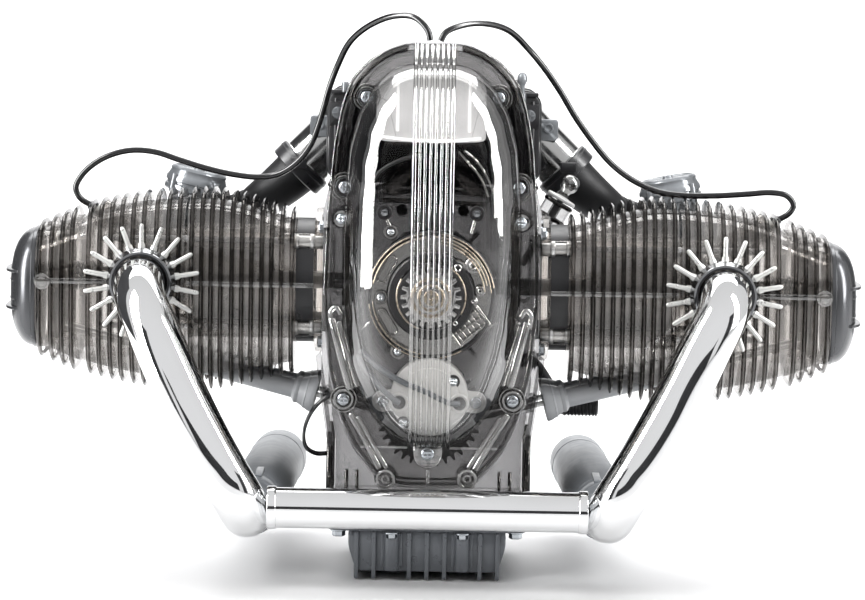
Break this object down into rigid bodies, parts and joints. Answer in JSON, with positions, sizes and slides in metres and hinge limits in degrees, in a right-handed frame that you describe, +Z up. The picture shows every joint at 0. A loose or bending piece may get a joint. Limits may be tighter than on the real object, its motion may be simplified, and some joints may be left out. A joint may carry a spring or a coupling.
{
  "type": "four stroke engine model",
  "caption": "Half-scale transparent flat twin four stroke engine model with finned cylinders, chrome header pipes, timing gears, valve gear and a clear front cover.",
  "frame": {"origin": "underside of the middle rib of the oil pan, below the crankshaft", "axes": "+Z up, -Y towards the clear front cover, +X towards the right cylinder as seen from the front"},
  "size_m": [0.372, 0.212, 0.2439],
  "materials": {
    "smoked_plastic": "smoked transparent, glossy",
    "clear_plastic": "lightly smoked transparent, glossy",
    "grey_plastic": "satin blue-grey",
    "silver_plastic": "silver paint",
    "chrome_plating": "polished",
    "steel": "turned",
    "aluminium": "satin",
    "brass": "turned",
    "black_plastic": "satin black",
    "black_rubber": "matt black",
    "white_plastic": "off-white",
    "plug_ceramic": "white glazed"
  },
  "bodies": {
    "engine": {"crankcase": "smoked_plastic", "oil_pan": "grey_plastic", "timing_cover": "smoked_plastic", "front_cover": "clear_plastic", "alternator_stator": "brass", "top_cover": "smoked_plastic", "gearbox": "smoked_plastic", "air_box": "black_plastic", "intake_tube_L": "silver_plastic", "intake_tube_R": "silver_plastic", "intake_hose_L": "black_rubber", "intake_hose_R": "black_rubber", "carburettor_L": "grey_plastic", "carburettor_R": "grey_plastic", "cylinder_L": "smoked_plastic", "cylinder_R": "smoked_plastic", "head_L": "smoked_plastic", "head_R": "smoked_plastic", "valve_cover_L": "grey_plastic", "valve_cover_R": "grey_plastic", "exhaust_nut_L": "silver_plastic", "exhaust_nut_R": "silver_plastic", "header_pipe_L": "chrome_plating", "header_pipe_R": "chrome_plating", "cross_pipe": "chrome_plating", "muffler_L": "grey_plastic", "muffler_R": "grey_plastic", "pushrod_tubes_L": "grey_plastic", "pushrod_tubes_R": "grey_plastic", "drive_motor": "white_plastic", "spark_plug_L": "plug_ceramic", "spark_plug_R": "plug_ceramic", "ignition_cable_L": "black_rubber", "ignition_cable_R": "black_rubber", "motor_cable": "black_rubber"},
    "crankshaft": {"crankshaft": "steel", "crank_gear": "black_plastic"},
    "idler_gear": {"idler_gear": "black_plastic"},
    "camshaft": {"camshaft": "steel", "cam_gear": "black_plastic"},
    "web_plug_L": {"web_plug_L": "brass"},
    "web_plug_R": {"web_plug_R": "brass"},
    "rod_L": {"rod_L": "aluminium"},
    "rod_R": {"rod_R": "aluminium"},
    "piston_L": {"piston_L": "aluminium"},
    "piston_R": {"piston_R": "aluminium"},
    "dipstick": {"dipstick": "white_plastic"},
    "gear_lever": {"gear_lever": "black_plastic"},
    "rocker_intake_L": {"rocker_intake_L": "aluminium"},
    "rocker_exhaust_L": {"rocker_exhaust_L": "aluminium"},
    "rocker_intake_R": {"rocker_intake_R": "aluminium"},
    "rocker_exhaust_R": {"rocker_exhaust_R": "aluminium"},
    "valve_intake_L": {"valve_intake_L": "steel"},
    "valve_exhaust_L": {"valve_exhaust_L": "steel"},
    "valve_intake_R": {"valve_intake_R": "steel"},
    "valve_exhaust_R": {"valve_exhaust_R": "steel"},
    "pushrod_intake_L": {"pushrod_intake_L": "aluminium"},
    "pushrod_exhaust_L": {"pushrod_exhaust_L": "aluminium"},
    "pushrod_intake_R": {"pushrod_intake_R": "aluminium"},
    "pushrod_exhaust_R": {"pushrod_exhaust_R": "aluminium"}
  },
  "joints": [
    {"name": "crank_turn", "type": "hinge", "parent": "engine", "child": "crankshaft", "pos_m": [0, 0, 0.125], "axis": [0, 1, 0], "continuous": true},
    {"name": "idler_turn", "type": "hinge", "parent": "engine", "child": "idler_gear", "pos_m": [0, -0.0465, 0.1046], "axis": [0, 1, 0], "continuous": true},
    {"name": "cam_turn", "type": "hinge", "parent": "engine", "child": "camshaft", "pos_m": [0, 0, 0.0734], "axis": [0, 1, 0], "continuous": true},
    {"name": "web_plug_L_turn", "type": "hinge", "parent": "crankshaft", "child": "web_plug_L", "pos_m": [-0.0075, 0, 0.125], "axis": [0, 1, 0], "continuous": true},
    {"name": "web_plug_R_turn", "type": "hinge", "parent": "crankshaft", "child": "web_plug_R", "pos_m": [0.0075, 0, 0.125], "axis": [0, 1, 0], "continuous": true},
    {"name": "piston_L_level", "type": "hinge", "parent": "web_plug_L", "child": "piston_L", "pos_m": [-0.015, 0, 0.125], "axis": [0, 1, 0], "continuous": true},
    {"name": "piston_R_level", "type": "hinge", "parent": "web_plug_R", "child": "piston_R", "pos_m": [0.015, 0, 0.125], "axis": [0, 1, 0], "continuous": true},
    {"name": "rod_L_level", "type": "hinge", "parent": "crankshaft", "child": "rod_L", "pos_m": [-0.015, 0.009, 0.125], "axis": [0, 1, 0], "continuous": true},
    {"name": "rod_R_level", "type": "hinge", "parent": "crankshaft", "child": "rod_R", "pos_m": [0.015, -0.009, 0.125], "axis": [0, 1, 0], "continuous": true},
    {"name": "dipstick_lift", "type": "slide", "parent": "engine", "child": "dipstick", "axis": [0.4943, 0, 0.8693], "range_m": [0, 0.04]},
    {"name": "gear_shift", "type": "hinge", "parent": "engine", "child": "gear_lever", "pos_m": [0.044, 0.076, 0.084], "axis": [1, 0, 0], "range_deg": [-12, 12], "stiffness_Nm_per_rad": 0.2},
    {"name": "rocker_intake_L_rock", "type": "hinge", "parent": "engine", "child": "rocker_intake_L", "pos_m": [-0.163, 0.023, 0.125], "axis": [0, 0, -1], "range_deg": [0, 15], "stiffness_Nm_per_rad": 0.05},
    {"name": "rocker_exhaust_L_rock", "type": "hinge", "parent": "engine", "child": "rocker_exhaust_L", "pos_m": [-0.163, -0.005, 0.125], "axis": [0, 0, 1], "range_deg": [0, 15], "stiffness_Nm_per_rad": 0.05},
    {"name": "rocker_intake_R_rock", "type": "hinge", "parent": "engine", "child": "rocker_intake_R", "pos_m": [0.163, 0.005, 0.125], "axis": [0, 0, 1], "range_deg": [0, 15], "stiffness_Nm_per_rad": 0.05},
    {"name": "rocker_exhaust_R_rock", "type": "hinge", "parent": "engine", "child": "rocker_exhaust_R", "pos_m": [0.163, -0.023, 0.125], "axis": [0, 0, -1], "range_deg": [0, 15], "stiffness_Nm_per_rad": 0.05},
    {"name": "valve_intake_L_slide", "type": "slide", "parent": "engine", "child": "valve_intake_L", "axis": [0.9757, -0.219, 0], "range_m": [0, 0.0021]},
    {"name": "valve_exhaust_L_slide", "type": "slide", "parent": "engine", "child": "valve_exhaust_L", "axis": [0.9757, 0.219, 0], "range_m": [0, 0.0021]},
    {"name": "valve_intake_R_slide", "type": "slide", "parent": "engine", "child": "valve_intake_R", "axis": [-0.9757, -0.219, 0], "range_m": [0, 0.0021]},
    {"name": "valve_exhaust_R_slide", "type": "slide", "parent": "engine", "child": "valve_exhaust_R", "axis": [-0.9757, 0.219, 0], "range_m": [0, 0.0021]},
    {"name": "pushrod_intake_L_slide", "type": "slide", "parent": "engine", "child": "pushrod_intake_L", "axis": [-0.97, -0.0489, 0.238], "range_m": [0, 0.0021]},
    {"name": "pushrod_exhaust_L_slide", "type": "slide", "parent": "engine", "child": "pushrod_exhaust_L", "axis": [-0.97, 0.0489, 0.238], "range_m": [0, 0.0021]},
    {"name": "pushrod_intake_R_slide", "type": "slide", "parent": "engine", "child": "pushrod_intake_R", "axis": [0.97, -0.0489, 0.238], "range_m": [0, 0.0021]},
    {"name": "pushrod_exhaust_R_slide", "type": "slide", "parent": "engine", "child": "pushrod_exhaust_R", "axis": [0.97, 0.0489, 0.238], "range_m": [0, 0.0021]}
  ],
  "couplings": [
    {"joint": "idler_turn", "follows": "crank_turn", "ratio": -1.125},
    {"joint": "cam_turn", "follows": "crank_turn", "ratio": 0.5},
    {"joint": "web_plug_L_turn", "follows": "crank_turn", "ratio": -2},
    {"joint": "web_plug_R_turn", "follows": "crank_turn", "ratio": -2},
    {"joint": "piston_L_level", "follows": "crank_turn", "ratio": 1},
    {"joint": "piston_R_level", "follows": "crank_turn", "ratio": 1},
    {"joint": "rod_L_level", "follows": "crank_turn", "ratio": -1},
    {"joint": "rod_R_level", "follows": "crank_turn", "ratio": -1},
    {"joint": "valve_intake_L_slide", "follows": "rocker_intake_L_rock", "m_per_rad": 0.008},
    {"joint": "valve_exhaust_L_slide", "follows": "rocker_exhaust_L_rock", "m_per_rad": 0.008},
    {"joint": "valve_intake_R_slide", "follows": "rocker_intake_R_rock", "m_per_rad": 0.008},
    {"joint": "valve_exhaust_R_slide", "follows": "rocker_exhaust_R_rock", "m_per_rad": 0.008},
    {"joint": "pushrod_intake_L_slide", "follows": "rocker_intake_L_rock", "m_per_rad": 0.008},
    {"joint": "pushrod_exhaust_L_slide", "follows": "rocker_exhaust_L_rock", "m_per_rad": 0.008},
    {"joint": "pushrod_intake_R_slide", "follows": "rocker_intake_R_rock", "m_per_rad": 0.008},
    {"joint": "pushrod_exhaust_R_slide", "follows": "rocker_exhaust_R_rock", "m_per_rad": 0.008}
  ]
}
